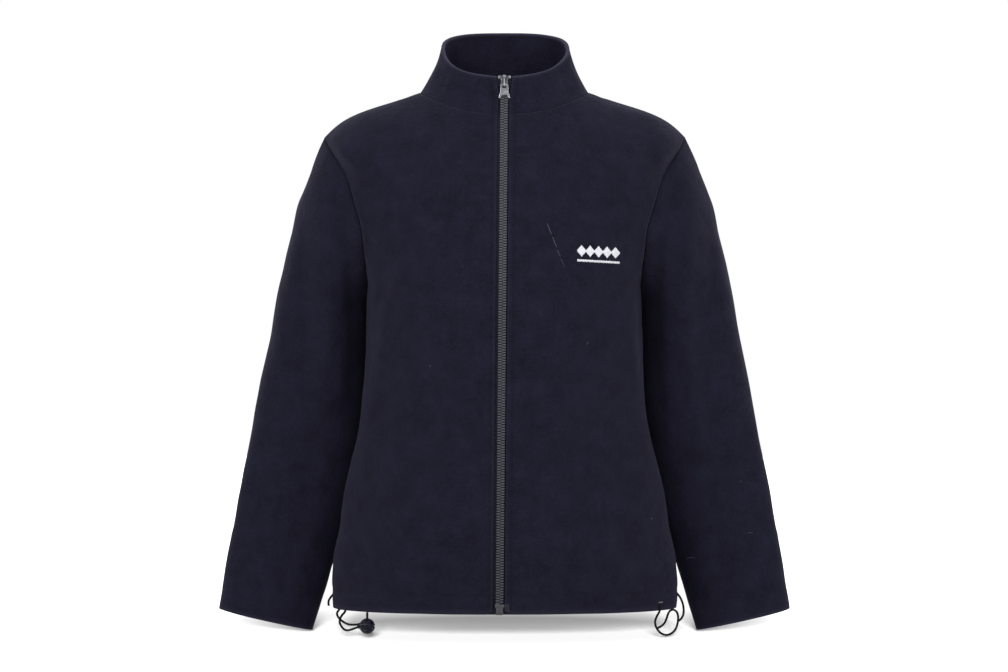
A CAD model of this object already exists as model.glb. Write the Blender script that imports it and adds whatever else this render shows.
"""Fleece zip jacket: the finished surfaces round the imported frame.

Metres, +Z up. The front faces -Y and the wearer's left is +X. Each operator makes one group
of pieces: the stage, the hem cords, the fleece panels, the stitching, the zip, the cord
lock, the embroidery and the wear marks.
"""

import math
import random
from collections import namedtuple

import bmesh
import bpy
import numpy as np
from mathutils import Matrix, Vector
from mathutils.bvhtree import BVHTree
from mathutils.kdtree import KDTree


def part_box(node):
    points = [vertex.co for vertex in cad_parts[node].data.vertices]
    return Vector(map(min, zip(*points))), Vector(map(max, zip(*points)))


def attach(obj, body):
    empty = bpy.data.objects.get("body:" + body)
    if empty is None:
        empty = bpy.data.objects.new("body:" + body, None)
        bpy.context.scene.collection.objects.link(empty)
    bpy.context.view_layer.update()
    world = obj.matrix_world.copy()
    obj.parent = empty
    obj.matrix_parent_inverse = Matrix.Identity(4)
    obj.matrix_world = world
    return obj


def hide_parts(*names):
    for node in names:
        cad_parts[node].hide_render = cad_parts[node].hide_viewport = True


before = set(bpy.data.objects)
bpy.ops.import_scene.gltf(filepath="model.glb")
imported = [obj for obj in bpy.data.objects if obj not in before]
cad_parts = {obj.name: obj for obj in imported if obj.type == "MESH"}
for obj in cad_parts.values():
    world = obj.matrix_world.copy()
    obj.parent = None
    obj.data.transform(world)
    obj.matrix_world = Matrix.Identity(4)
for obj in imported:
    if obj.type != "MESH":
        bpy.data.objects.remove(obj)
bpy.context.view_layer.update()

bl_info = {
    "name": "Fleece zip jacket",
    "version": (1, 0, 0),
    "blender": (4, 5, 0),
    "location": "View3D > Sidebar > Jacket",
    "description": "Builds the cloth, zip, cords and stage of a fleece zip jacket",
    "category": "Object",
}

# Camera and stage
CAMERA_PLACE = (-0.0006, -4.0, -0.2916)
VIEW_WIDTH = 1.22976
SENSOR = 36.0
FLOOR_Z = -0.656
WASH_RISE = math.radians(10)
WASH_SPREAD = math.radians(10)
FLOOR_HALF = 6.0
LAMPS_AIM = (0.0, 0.0, -0.30)

# Zip: its middle leans a little to the wearer's right towards the hem
ZIP_LEAN = 0.0091
LEAN_FROM = 0.030
ZIP_EDGE = 0.0056
ZIP_STITCH = 0.0130
TEETH_TOP = 0.0160
TAPE_DEPTH = 0.0026
TEETH_FOOT = -0.6085
TOOTH_SIZE = (0.0049, 0.0022, 0.00235)
TOOTH_MIDDLE = 0.00225
TOOTH_RISE = 0.00045
TOOTH_EDGE = 0.00050
TAPE_LEVELS = 2

# Panels: the pieces that are sewn together, and what marks each kind of rim
PANELS = ("front_right", "front_left", "back", "sleeve_right", "sleeve_left", "collar")
WELD = 0.00001
RIM_ANGLE = math.radians(50)
SEAM_REACH = 0.0012
ZIP_REACH = 0.0102
HEM_LINE = -0.6170
CUFF_LINE = -0.6200
RIM_HEIGHT = 0.0195
PANEL_LEVELS = 3
ROUNDING_PASSES = 3
RIM_KINDS = ("seam", "zip_edge", "hem", "cuff", "collar_rim")
FAR = 1.0

# How the cloth is worked: the hem's depth, how wide a seam sinks and how far it is drawn shut
HEM_DEPTH = 0.022
HEM_STITCH_FRONT_Z = -0.5995
HEM_STITCH_BACK_Z = -0.6005
FEWEST_PLACES = 8
COLLAR_STITCH_DROP = 0.0034
SEAM_SPREAD = 0.0032
CLOSE_REACH = 0.0016
CLOSE_SHARE = 0.55
UNDERARM_Z = -0.268
SLEEVE_TOP_Z = -0.06
SLEEVE_DROP = 0.59

# How finely a crease's line is followed, how far its slopes and ends reach, and how squarely
# the cloth must face it
CREASE_SPACING = (0.004, 0.006)
CREASE_REACH = 2.6
CREASE_END = 0.008
FACING_LEAST = 0.05

# In front of the jacket, from where lines are cast back on it
CAST_FROM = -0.4

# Creases by hand, for each group of panels and each face. A crease runs through (x, z) places,
# with how far it spreads to either side of its line and how high it stands or deep it sinks.
Crease = namedtuple("Crease", "route before after height")
BODY = ("front_right", "front_left", "back")
SLEEVES = ("sleeve_right", "sleeve_left")
CREASES = {
    (BODY, "front"): [
        Crease(
            [(-0.124, -0.214), (-0.138, -0.258), (-0.147, -0.300), (-0.165, -0.415)],
            0.007, 0.012, 0.0024,
        ),
        Crease(
            [(0.138, -0.236), (0.145, -0.278), (0.155, -0.320), (0.160, -0.367), (0.177, -0.436)],
            0.012, 0.007, 0.0024,
        ),
        Crease(
            [(-0.1267, -0.1993), (-0.1467, -0.2431), (-0.156, -0.2845), (-0.160, -0.345)],
            0.009, 0.008, -0.0030,
        ),
        Crease([(-0.1118, -0.2075), (-0.1237, -0.2489), (-0.128, -0.2845)], 0.008, 0.009, 0.0016),
        Crease([(0.1603, -0.2489), (0.1674, -0.3081), (0.1745, -0.379)], 0.008, 0.007, -0.0026),
        Crease([(-0.070, -0.420), (-0.092, -0.500), (-0.104, -0.590)], 0.020, 0.016, -0.0018),
        Crease([(0.085, -0.440), (0.100, -0.510), (0.106, -0.590)], 0.018, 0.016, -0.0016),
        Crease([(0.040, -0.300), (0.062, -0.360), (0.078, -0.440)], 0.016, 0.020, 0.0014),
        Crease([(-0.045, -0.310), (-0.060, -0.380), (-0.066, -0.460)], 0.020, 0.016, 0.0013),
    ],
    (BODY, "back"): [
        Crease([(-0.040, -0.120), (-0.085, -0.165), (-0.128, -0.235)], 0.014, 0.018, -0.0028),
        Crease([(0.045, -0.115), (0.088, -0.170), (0.130, -0.240)], 0.016, 0.014, -0.0030),
        Crease([(-0.090, -0.240), (-0.112, -0.330), (-0.135, -0.430)], 0.012, 0.015, 0.0030),
        Crease([(0.085, -0.260), (0.110, -0.350), (0.140, -0.460)], 0.014, 0.012, 0.0028),
        Crease([(0.010, -0.330), (0.020, -0.450), (0.016, -0.590)], 0.018, 0.022, 0.0024),
        Crease([(-0.085, -0.450), (-0.095, -0.520), (-0.098, -0.600)], 0.014, 0.016, -0.0022),
    ],
    (SLEEVES, "front"): [
        Crease(
            [(-0.203, -0.077), (-0.190, -0.126), (-0.1845, -0.199), (-0.182, -0.272), (-0.187, -0.394)],
            0.010, 0.010, -0.0040,
        ),
        Crease(
            [(-0.224, -0.100), (-0.220, -0.174), (-0.2155, -0.272), (-0.224, -0.380)],
            0.010, 0.010, 0.0034,
        ),
        Crease([(-0.2495, -0.126), (-0.2430, -0.223), (-0.2500, -0.345)], 0.010, 0.012, -0.0036),
        Crease([(-0.262, -0.330), (-0.272, -0.420), (-0.288, -0.520)], 0.014, 0.012, 0.0026),
        Crease([(-0.232, -0.430), (-0.252, -0.520), (-0.276, -0.610)], 0.012, 0.014, -0.0024),
        Crease([(0.2043, -0.083), (0.187, -0.150), (0.1815, -0.248), (0.185, -0.370)], 0.010, 0.010, -0.0042),
        Crease([(0.2215, -0.105), (0.2245, -0.223), (0.2320, -0.370)], 0.010, 0.010, 0.0034),
        Crease([(0.2483, -0.126), (0.2556, -0.248), (0.2630, -0.370)], 0.012, 0.010, -0.0034),
        Crease([(0.268, -0.320), (0.282, -0.430), (0.296, -0.530)], 0.012, 0.014, 0.0024),
        Crease([(0.238, -0.440), (0.262, -0.530), (0.286, -0.615)], 0.014, 0.012, -0.0022),
    ],
    (SLEEVES, "back"): [
        Crease([(-0.200, -0.130), (-0.195, -0.220), (-0.200, -0.340)], 0.012, 0.012, -0.0045),
        Crease([(-0.248, -0.120), (-0.242, -0.230), (-0.258, -0.350)], 0.011, 0.013, -0.0038),
        Crease([(-0.225, -0.360), (-0.262, -0.420), (-0.300, -0.450)], 0.010, 0.014, -0.0030),
        Crease([(-0.236, -0.450), (-0.268, -0.510), (-0.305, -0.550)], 0.012, 0.012, 0.0024),
        Crease([(0.200, -0.125), (0.196, -0.230), (0.203, -0.350)], 0.012, 0.012, -0.0045),
        Crease([(0.250, -0.125), (0.246, -0.240), (0.262, -0.360)], 0.013, 0.011, -0.0036),
        Crease([(0.230, -0.370), (0.268, -0.430), (0.305, -0.455)], 0.014, 0.010, -0.0032),
        Crease([(0.240, -0.470), (0.275, -0.520), (0.310, -0.570)], 0.012, 0.012, 0.0022),
    ],
    (("collar",), "front"): [
        Crease([(-0.078, 0.050), (-0.083, 0.030), (-0.092, 0.008)], 0.0030, 0.0040, 0.0012),
        Crease([(-0.068, 0.036), (-0.073, 0.018), (-0.084, -0.004)], 0.0035, 0.0045, -0.0012),
        Crease([(0.077, 0.050), (0.082, 0.030), (0.091, 0.008)], 0.0040, 0.0030, 0.0012),
        Crease([(0.067, 0.036), (0.073, 0.016), (0.083, -0.006)], 0.0045, 0.0035, -0.0012),
        Crease([(-0.052, 0.010), (-0.030, -0.001), (-0.014, -0.004)], 0.0060, 0.0080, -0.0010),
        Crease([(0.050, 0.009), (0.030, -0.001), (0.015, -0.004)], 0.0080, 0.0060, -0.0010),
    ],
}

# Hem cord
CORD_DIAMETER = 0.0027
CORD_SPACING = 0.0025
SIDE_STRAND = [
    (-0.1975, 0.0060, -0.5990),
    (-0.1985, 0.0040, -0.6110),
    (-0.1990, 0.0010, -0.6215),
    (-0.2036, -0.0070, -0.6280),
    (-0.2022, -0.0210, -0.6320),
    (-0.1960, -0.0390, -0.6360),
    (-0.1885, -0.0560, -0.6382),
    (-0.1822, -0.0660, -0.6380),
    (-0.1756, -0.0705, -0.6373),
]
FRONT_STRAND = [
    (-0.1900, -0.0300, -0.6010),
    (-0.1905, -0.0320, -0.6130),
    (-0.1925, -0.0370, -0.6240),
    (-0.1968, -0.0430, -0.6295),
    (-0.1988, -0.0475, -0.6355),
    (-0.1965, -0.0520, -0.6410),
    (-0.1922, -0.0575, -0.6448),
    (-0.1872, -0.0625, -0.6450),
    (-0.1814, -0.0675, -0.6428),
    (-0.1756, -0.0705, -0.6405),
]
TAIL_STRAND = [
    (-0.2008, 0.0345, -0.5910),
    (-0.2025, 0.0325, -0.5975),
    (-0.2055, 0.0290, -0.6035),
    (-0.2096, 0.0250, -0.6080),
    (-0.2135, 0.0220, -0.6125),
    (-0.2158, 0.0205, -0.6170),
    (-0.2155, 0.0200, -0.6225),
]
FRONT_LOOP = [
    (0.1868, -0.0588, -0.6140),
    (0.1865, -0.0593, -0.6219),
    (0.1830, -0.0610, -0.6284),
    (0.1810, -0.0605, -0.6344),
    (0.1817, -0.0599, -0.6399),
    (0.1842, -0.0576, -0.6449),
    (0.1884, -0.0539, -0.6494),
    (0.1942, -0.0486, -0.6519),
    (0.2002, -0.0432, -0.6512),
    (0.2052, -0.0387, -0.6479),
    (0.2082, -0.0360, -0.6429),
    (0.2097, -0.0347, -0.6369),
    (0.2100, -0.0344, -0.6304),
    (0.2080, -0.0355, -0.6249),
    (0.2042, -0.0375, -0.6224),
    (0.2002, -0.0390, -0.6234),
    (0.1974, -0.0410, -0.6274),
    (0.1957, -0.0430, -0.6324),
    (0.1932, -0.0460, -0.6374),
    (0.1892, -0.0500, -0.6409),
    (0.1847, -0.0535, -0.6429),
]
SIDE_LOOP = [
    (0.2019, 0.0305, -0.5945),
    (0.2060, 0.0270, -0.6015),
    (0.2108, 0.0220, -0.6065),
    (0.2150, 0.0160, -0.6115),
    (0.2177, 0.0090, -0.6180),
    (0.2186, 0.0010, -0.6245),
    (0.2178, -0.0070, -0.6305),
    (0.2150, -0.0140, -0.6350),
    (0.2110, -0.0200, -0.6375),
]

# Cord lock
PIN = Vector((-0.000178, -0.052608, 0.01106))
PIN_TILT = -0.2172
BALL_CENTRE = Vector((-0.1643, -0.0765, -0.6389))
BALL_RADIUS = 0.0094
BALL_TURN = math.radians(28)
TIE_TOP = -0.6224
TIE_TURNS = 7.0
TIE_STEPS = 84
TIE_RADIUS = 0.0009

# Chest motif
MOTIF_FIRST_X = 0.0915
MOTIF_MIDDLE_Z = -0.1905
MOTIF_SLOPE = -0.045
MOTIF_UNEVEN = 0.00012
SATIN_PITCH = 0.00042
SATIN_THREAD = 0.00028
DIAMONDS = 5
DIAMOND_PITCH = 0.0102
DIAMOND_HALF_HEIGHT = 0.0066
BAR_DROP = 0.0115
BAR_HALF = 0.0014


# Properties that a user would change

class FleeceLook(bpy.types.PropertyGroup):
    """Colour and surface of the fleece"""

    deep: bpy.props.FloatVectorProperty(
        name="Deep colour", description="Colour between the tufts",
        subtype="COLOR", size=4, default=(0.0040, 0.0037, 0.0078, 1.0), min=0.0, max=1.0,
    )
    nap: bpy.props.FloatVectorProperty(
        name="Nap colour", description="Colour on top of the nap",
        subtype="COLOR", size=4, default=(0.0078, 0.0073, 0.0150, 1.0), min=0.0, max=1.0,
    )
    sheen: bpy.props.FloatProperty(
        name="Sheen", description="How much the nap lights up at the edges",
        subtype="FACTOR", default=0.035, min=0.0, max=1.0,
    )
    fold_share: bpy.props.FloatProperty(
        name="Folds", description="Share of each crease's full height",
        subtype="FACTOR", default=1.0, min=0.0, max=1.0,
    )
    seam_depth: bpy.props.FloatProperty(
        name="Seam depth", description="How far the cloth sinks into a seam",
        unit="LENGTH", default=0.0006, min=0.0, max=0.003,
    )


class StitchLook(bpy.types.PropertyGroup):
    """Topstitching"""

    pitch: bpy.props.FloatProperty(
        name="Pitch", description="From one stitch to the next",
        unit="LENGTH", default=0.0031, min=0.001, max=0.01,
    )
    length: bpy.props.FloatProperty(
        name="Length", description="Length of a stitch that shows",
        unit="LENGTH", default=0.0022, min=0.0005, max=0.01,
    )
    thread: bpy.props.FloatProperty(
        name="Thread", description="Diameter of the thread",
        unit="LENGTH", default=0.00055, min=0.0001, max=0.002,
    )
    colour: bpy.props.FloatVectorProperty(
        name="Colour", description="Colour of the thread",
        subtype="COLOR", size=4, default=(0.0075, 0.0075, 0.0135, 1.0), min=0.0, max=1.0,
    )


class ZipLook(bpy.types.PropertyGroup):
    """Teeth, tapes and metal of the zip"""

    pitch: bpy.props.FloatProperty(
        name="Pitch", description="From one tooth to the next on the same side",
        unit="LENGTH", default=0.0031, min=0.001, max=0.006,
    )
    teeth: bpy.props.FloatVectorProperty(
        name="Teeth", description="Colour of the moulded teeth",
        subtype="COLOR", size=4, default=(0.022, 0.023, 0.034, 1.0), min=0.0, max=1.0,
    )
    tape: bpy.props.FloatVectorProperty(
        name="Tape", description="Colour of the woven tape",
        subtype="COLOR", size=4, default=(0.0085, 0.0083, 0.0150, 1.0), min=0.0, max=1.0,
    )
    metal: bpy.props.FloatVectorProperty(
        name="Metal", description="Colour of the slider and the pull",
        subtype="COLOR", size=4, default=(0.20, 0.205, 0.225, 1.0), min=0.0, max=1.0,
    )


class CordLook(bpy.types.PropertyGroup):
    """Hem cord and its lock"""

    cord: bpy.props.FloatVectorProperty(
        name="Cord", description="Colour of the elastic cord",
        subtype="COLOR", size=4, default=(0.0030, 0.0032, 0.0032, 1.0), min=0.0, max=1.0,
    )
    toggle: bpy.props.FloatVectorProperty(
        name="Lock", description="Colour of the cord lock",
        subtype="COLOR", size=4, default=(0.0024, 0.0024, 0.0060, 1.0), min=0.0, max=1.0,
    )


class StudioLook(bpy.types.PropertyGroup):
    """Light and floor"""

    ambient: bpy.props.FloatProperty(
        name="Ambient", description="Brightness of the white surroundings",
        default=1.0, min=0.0, max=5.0,
    )
    key: bpy.props.FloatProperty(
        name="Key light", description="Power of the large light at the front",
        unit="POWER", default=60.0, min=0.0, max=1000.0,
    )
    floor_wash: bpy.props.FloatProperty(
        name="Floor wash", description="Strength of the low light along the floor",
        default=68.0, min=0.0, max=100.0,
    )


# Lines

def catmull(a, b, c, d, t):
    """Catmull-Rom from b to c."""
    squared = (2.0 * a - 5.0 * b + 4.0 * c - d) * t**2
    cubed = (3.0 * b - a - 3.0 * c + d) * t**3
    return 0.5 * (2.0 * b + (c - a) * t + squared + cubed)


def even_line(line, spacing):
    """Places along a line of points, one about every spacing."""
    line = np.array([tuple(point) for point in line], dtype=float)
    reach = np.concatenate([[0.0], np.cumsum(np.linalg.norm(np.diff(line, axis=0), axis=1))])
    count = max(2, round(reach[-1] / spacing))
    wanted = np.linspace(0.0, reach[-1], count + 1)
    columns = [np.interp(wanted, reach, line[:, axis]) for axis in range(line.shape[1])]
    return np.stack(columns, axis=1)


def smooth_line(points, spacing, steps=12):
    """Places along a smooth curve through the points."""
    points = [Vector(point) for point in points]
    last = len(points) - 1
    line = []
    for index in range(last):
        a = points[max(index - 1, 0)]
        d = points[min(index + 2, last)]
        line += [catmull(a, points[index], points[index + 1], d, step / steps) for step in range(steps)]
    return even_line(line + [points[last]], spacing)


def zip_middle(z):
    return ZIP_LEAN * (z - LEAN_FROM)


# Materials

def put(tree, kind, inputs=None, **settings):
    """A node of this kind with its settings, and its inputs as values or links."""
    made = tree.nodes.new("ShaderNode" + kind)
    for name, value in settings.items():
        setattr(made, name, value)
    for name, value in (inputs or {}).items():
        if isinstance(value, bpy.types.NodeSocket):
            tree.links.new(value, made.inputs[name])
        else:
            made.inputs[name].default_value = value
    return made


def new_material(name, **shader_values):
    """A material with its tree, its shader and the object's own coordinates."""
    material = bpy.data.materials.new(name)
    material.use_nodes = True
    tree = material.node_tree
    shader = tree.nodes["Principled BSDF"]
    for key, value in shader_values.items():
        shader.inputs[key.replace("_", " ")].default_value = value
    coords = put(tree, "TexCoord").outputs["Object"]
    return material, tree, shader, coords


def noise(tree, coords, scale, detail=2.0, roughness=0.5):
    made = put(tree, "TexNoise", {"Vector": coords, "Scale": scale, "Detail": detail, "Roughness": roughness})
    return made.outputs["Fac"]


def ramp(tree, value, stops):
    made = put(tree, "ValToRGB", {"Fac": value})
    elements = made.color_ramp.elements
    while len(elements) < len(stops):
        elements.new(0.5)
    for element, (place, colour) in zip(elements, stops):
        element.position = place
        element.color = colour if hasattr(colour, "__len__") else (colour, colour, colour, 1.0)
    return made.outputs["Color"]


def mix(tree, share, a, b, blend="MIX"):
    made = put(tree, "Mix", data_type="RGBA", blend_type=blend)
    for socket, value in ((made.inputs[0], share), (made.inputs[6], a), (made.inputs[7], b)):
        if isinstance(value, bpy.types.NodeSocket):
            tree.links.new(value, socket)
        else:
            socket.default_value = value
    return made.outputs[2]


def maths(tree, operation, a, b=0.0):
    return put(tree, "Math", {0: a, 1: b}, operation=operation).outputs[0]


def bump(tree, height, distance, strength=1.0, below=None):
    inputs = {"Height": height, "Distance": distance, "Strength": strength}
    if below is not None:
        inputs["Normal"] = below
    return put(tree, "Bump", inputs).outputs["Normal"]


def connect(tree, socket, shader, name):
    tree.links.new(socket, shader.inputs[name])


def fleece_material(look):
    """Brushed fleece: cloudy nap, tufts and fibres, with a soft sheen."""
    material, tree, shader, coords = new_material(
        "fleece_cloth", Roughness=1.0, Sheen_Weight=look.sheen, Sheen_Roughness=0.42,
        Sheen_Tint=(0.66, 0.66, 1.0, 1.0), Specular_IOR_Level=0.05,
    )
    cloud = noise(tree, coords, 42.0, 4.0, 0.62)
    tuft = noise(tree, coords, 330.0, 3.0, 0.6)
    fibre = noise(tree, coords, 1500.0, 2.0, 0.6)
    lay = maths(tree, "ADD", maths(tree, "MULTIPLY", cloud, 0.55), maths(tree, "MULTIPLY", tuft, 0.45))
    share = ramp(tree, lay, [(0.34, 0.0), (0.66, 1.0)])
    colour = mix(tree, share, tuple(look.deep), tuple(look.nap))
    groove = put(tree, "Attribute", attribute_name="groove").outputs["Fac"]
    colour = mix(tree, groove, colour, (0.0016, 0.0016, 0.0030, 1.0))
    lit = put(tree, "Attribute", attribute_name="lit").outputs["Fac"]
    colour = mix(tree, lit, colour, (0.034, 0.033, 0.052, 1.0))
    connect(tree, colour, shader, "Base Color")
    normal = bump(tree, cloud, 0.0035, 0.55)
    normal = bump(tree, tuft, 0.0010, 0.75, normal)
    normal = bump(tree, fibre, 0.00025, 0.7, normal)
    connect(tree, normal, shader, "Normal")
    return material


def thread_material(name, colour, gloss=0.6, sheen=0.05, shine=0.35):
    """Twisted polyester thread."""
    material, tree, shader, coords = new_material(
        name, Roughness=gloss, Sheen_Weight=sheen, Specular_IOR_Level=shine,
    )
    strands = noise(tree, coords, 1800.0, 2.0)
    shade = ramp(tree, strands, [(0.30, 0.72), (0.70, 1.0)])
    connect(tree, mix(tree, 1.0, tuple(colour), shade, "MULTIPLY"), shader, "Base Color")
    connect(tree, bump(tree, strands, 0.00015, 0.6), shader, "Normal")
    return material


def tape_material(look):
    """Woven zip tape with ribs across it."""
    material, tree, shader, coords = new_material(
        "zip_tape_weave", Roughness=0.9, Sheen_Weight=0.02, Specular_IOR_Level=0.12,
    )
    ribs = put(
        tree, "TexWave", {"Vector": coords, "Scale": 349.0 / 2.0, "Distortion": 0.4, "Detail": 1.0},
        wave_type="BANDS", bands_direction="Z",
    ).outputs["Fac"]
    yarn = noise(tree, coords, 1400.0, 2.0)
    shade = ramp(tree, ribs, [(0.15, 0.55), (0.8, 1.25)])
    colour = mix(tree, 1.0, tuple(look.tape), shade, "MULTIPLY")
    connect(tree, colour, shader, "Base Color")
    normal = bump(tree, ribs, 0.0005, 0.8)
    connect(tree, bump(tree, yarn, 0.00015, 0.6, normal), shader, "Normal")
    return material


def teeth_material(look):
    """Moulded zip teeth: slightly mottled satin plastic."""
    material, tree, shader, coords = new_material("zip_teeth_plastic", Specular_IOR_Level=0.5)
    patches = noise(tree, coords, 240.0, 3.0)
    shade = ramp(tree, patches, [(0.30, 0.75), (0.70, 1.2)])
    height = put(tree, "SeparateXYZ", {"Vector": coords}).outputs["Z"]
    drop = maths(tree, "ADD", maths(tree, "MULTIPLY", height, 1.6), 1.0)
    worn = ramp(tree, drop, [(0.0, 0.50), (1.0, 0.92)])
    colour = mix(tree, 1.0, tuple(look.teeth), shade, "MULTIPLY")
    connect(tree, mix(tree, 1.0, colour, worn, "MULTIPLY"), shader, "Base Color")
    connect(tree, ramp(tree, patches, [(0.25, 0.36), (0.75, 0.52)]), shader, "Roughness")
    connect(tree, bump(tree, noise(tree, coords, 1500.0), 0.00006, 0.5), shader, "Normal")
    return material


def metal_material(name, colour):
    """Plated zip metal, dulled and finely scratched by use."""
    material, tree, shader, coords = new_material(name, Metallic=1.0)
    wear = noise(tree, coords, 420.0, 4.0, 0.6)
    stretched = put(tree, "Mapping", {"Vector": coords, "Scale": (300.0, 300.0, 2600.0)}).outputs["Vector"]
    scratches = noise(tree, stretched, 1.0, 2.0)
    shade = ramp(tree, wear, [(0.30, 0.62), (0.70, 1.0)])
    connect(tree, mix(tree, 1.0, tuple(colour), shade, "MULTIPLY"), shader, "Base Color")
    connect(tree, ramp(tree, wear, [(0.25, 0.42), (0.75, 0.26)]), shader, "Roughness")
    connect(tree, bump(tree, scratches, 0.00004, 0.5), shader, "Normal")
    return material


def cord_material(look):
    """Braided cover of the elastic cord."""
    material, tree, shader, coords = new_material("cord_braid", Roughness=0.8, Specular_IOR_Level=0.1)
    braid = put(
        tree, "TexVoronoi", {"Vector": coords, "Scale": 1400.0, "Randomness": 0.7}, feature="F1",
    ).outputs["Distance"]
    shade = ramp(tree, braid, [(0.10, 1.4), (0.60, 0.6)])
    connect(tree, mix(tree, 1.0, tuple(look.cord), shade, "MULTIPLY"), shader, "Base Color")
    connect(tree, bump(tree, braid, -0.0002, 0.8), shader, "Normal")
    return material


def toggle_material(look):
    """Speckled plastic of the cord lock."""
    material, tree, shader, coords = new_material("lock_plastic", Specular_IOR_Level=0.08)
    specks = put(
        tree, "TexVoronoi", {"Vector": coords, "Scale": 520.0, "Randomness": 1.0}, feature="F1",
    ).outputs["Distance"]
    patches = noise(tree, coords, 260.0, 3.0)
    lit = ramp(tree, specks, [(0.22, 1.0), (0.34, 0.0)])
    few = ramp(tree, patches, [(0.44, 0.0), (0.54, 1.0)])
    share = maths(tree, "MULTIPLY", lit, few)
    colour = mix(tree, share, tuple(look.toggle), (0.085, 0.088, 0.13, 1.0))
    connect(tree, colour, shader, "Base Color")
    connect(tree, ramp(tree, patches, [(0.3, 0.30), (0.7, 0.46)]), shader, "Roughness")
    connect(tree, bump(tree, patches, 0.0001, 0.4), shader, "Normal")
    return material


def shadow_material(name, depth, roughness):
    """A nearly black hollow, a little uneven."""
    material, tree, shader, coords = new_material(name, Roughness=roughness)
    dark = (depth, depth, depth * 1.3, 1.0)
    paler = (depth * 1.8, depth * 1.8, depth * 2.4, 1.0)
    cloud = noise(tree, coords, 900.0, 3.0)
    connect(tree, ramp(tree, cloud, [(0.35, dark), (0.65, paler)]), shader, "Base Color")
    return material


def floor_material():
    """Matt floor panel that glows, less so under the jacket, with the faintest unevenness."""
    material, tree, shader, coords = new_material(
        "studio_floor", Roughness=0.95, Specular_IOR_Level=0.0, Emission_Strength=1.0,
    )
    patches = noise(tree, coords, 3.0, 3.0)
    connect(tree, ramp(tree, patches, [(0.3, 0.20), (0.7, 0.21)]), shader, "Base Color")
    level = put(tree, "Mapping", {"Vector": coords, "Scale": (1.0, 1.0, 0.0)}).outputs["Vector"]
    reach = put(tree, "VectorMath", {0: level}, operation="LENGTH").outputs["Value"]
    connect(tree, ramp(tree, reach, [(0.25, 0.17), (0.44, 0.80)]), shader, "Emission Color")
    return material


# Meshes

def linked(name, data):
    """An object of this data, in the scene."""
    made = bpy.data.objects.new(name, data)
    bpy.context.scene.collection.objects.link(made)
    return made


def add_object(name, data, material, body="jacket", replaces=()):
    """An object of this mesh or curve, finished, riding and standing for its CAD nodes."""
    data.materials.clear()
    data.materials.append(material)
    made = linked(name, data)
    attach(made, body)
    if replaces:
        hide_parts(*replaces)
    return made


def mesh_from(bm, name):
    data = bpy.data.meshes.new(name)
    bm.to_mesh(data)
    bm.free()
    return data


def smooth_mesh(bm, name, sharp=None):
    """A mesh shaded smooth, but for the edges past an angle in degrees."""
    data = mesh_from(bm, name)
    data.shade_smooth()
    if sharp:
        data.set_sharp_from_angle(angle=math.radians(sharp))
    return data


def evaluated_mesh(made):
    """The mesh of an object with its modifiers applied."""
    bpy.context.view_layer.update()
    graph = bpy.context.evaluated_depsgraph_get()
    return bpy.data.meshes.new_from_object(made.evaluated_get(graph), depsgraph=graph)


def mesh_of(curve):
    """A curve's surface as a mesh. The curve itself is removed."""
    holder = linked(curve.name, curve)
    data = evaluated_mesh(holder)
    bpy.data.objects.remove(holder, do_unlink=True)
    bpy.data.curves.remove(curve)
    return data


def round_curve(name, lines, radius, resolution):
    """A curve with a round section along lines of points."""
    curve = bpy.data.curves.new(name, "CURVE")
    curve.dimensions = "3D"
    curve.bevel_depth = radius
    curve.bevel_resolution = resolution
    curve.use_fill_caps = True
    for line in lines:
        spline = curve.splines.new("POLY")
        spline.points.add(len(line) - 1)
        for point, place in zip(spline.points, line):
            point.co = (*place, 1.0)
    return curve


def thread_mesh(name, lines, radius, sides=1, ends=0.45):
    """Many short threads as one mesh. Each is a line of points, thinner at its ends."""
    curve = round_curve(name, lines, radius, sides)
    for spline in curve.splines:
        for point in (spline.points[0], spline.points[-1]):
            point.radius = ends
    data = mesh_of(curve)
    data.name = name
    data.shade_smooth()
    return data


def places_of(data):
    count = len(data.vertices)
    places = np.empty(count * 3, dtype=np.float32)
    data.vertices.foreach_get("co", places)
    return places.reshape(-1, 3).astype(float)


def set_places(data, places):
    data.vertices.foreach_set("co", places.astype(np.float32).ravel())
    data.update()


def tree_of(places):
    """A tree that finds the nearest of these places."""
    tree = KDTree(len(places))
    for index, place in enumerate(places):
        tree.insert(place, index)
    tree.balance()
    return tree


def surface_of(data):
    """A tree of a mesh's surface, for casting lines on it."""
    data.calc_loop_triangles()
    verts = [vert.co.copy() for vert in data.vertices]
    return BVHTree.FromPolygons(verts, [tuple(tri.vertices) for tri in data.loop_triangles])


# Fleece panels

def quad_shell(name):
    """A panel's closed wall, as quads."""
    bm = bmesh.new()
    bm.from_mesh(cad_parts[name].data)
    bmesh.ops.remove_doubles(bm, verts=bm.verts, dist=WELD)
    bmesh.ops.join_triangles(
        bm, faces=bm.faces, angle_face_threshold=math.radians(60),
        angle_shape_threshold=math.radians(120), topology_influence=2.0,
    )
    return bm


def is_rim(edge):
    return edge.calc_face_angle(0.0) > RIM_ANGLE


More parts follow.
